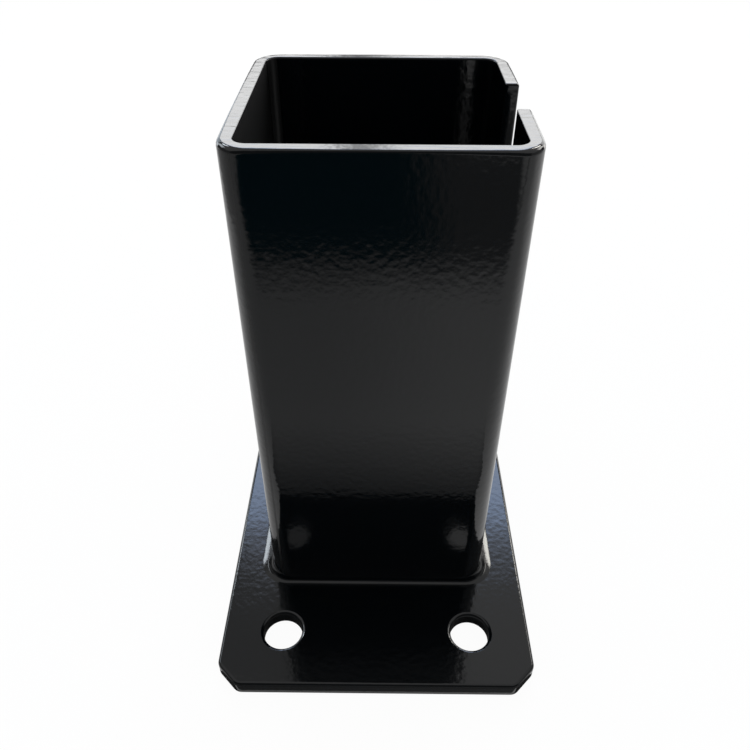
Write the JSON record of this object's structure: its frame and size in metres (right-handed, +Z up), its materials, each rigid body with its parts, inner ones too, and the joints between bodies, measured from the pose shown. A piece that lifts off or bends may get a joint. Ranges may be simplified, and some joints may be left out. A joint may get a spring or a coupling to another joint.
{
  "type": "post base u bracket",
  "caption": "Upright folded C-section with a full-height slot, welded to a flat base plate with cut corners and anchor holes, to bolt a post or rail end down to a floor.",
  "frame": {"origin": "middle of the base plate's underside, where it stands on the floor", "axes": "+Z up the post; +X towards the slot; Y along the plate's length"},
  "size_m": [0.083, 0.122, 0.132],
  "materials": {
    "black_powder_coat": "gloss powder coat over welded steel"
  },
  "bodies": {
    "root": {"base_plate": "black_powder_coat", "c_post": "black_powder_coat", "foot_weld": "black_powder_coat"}
  },
  "joints": []
}
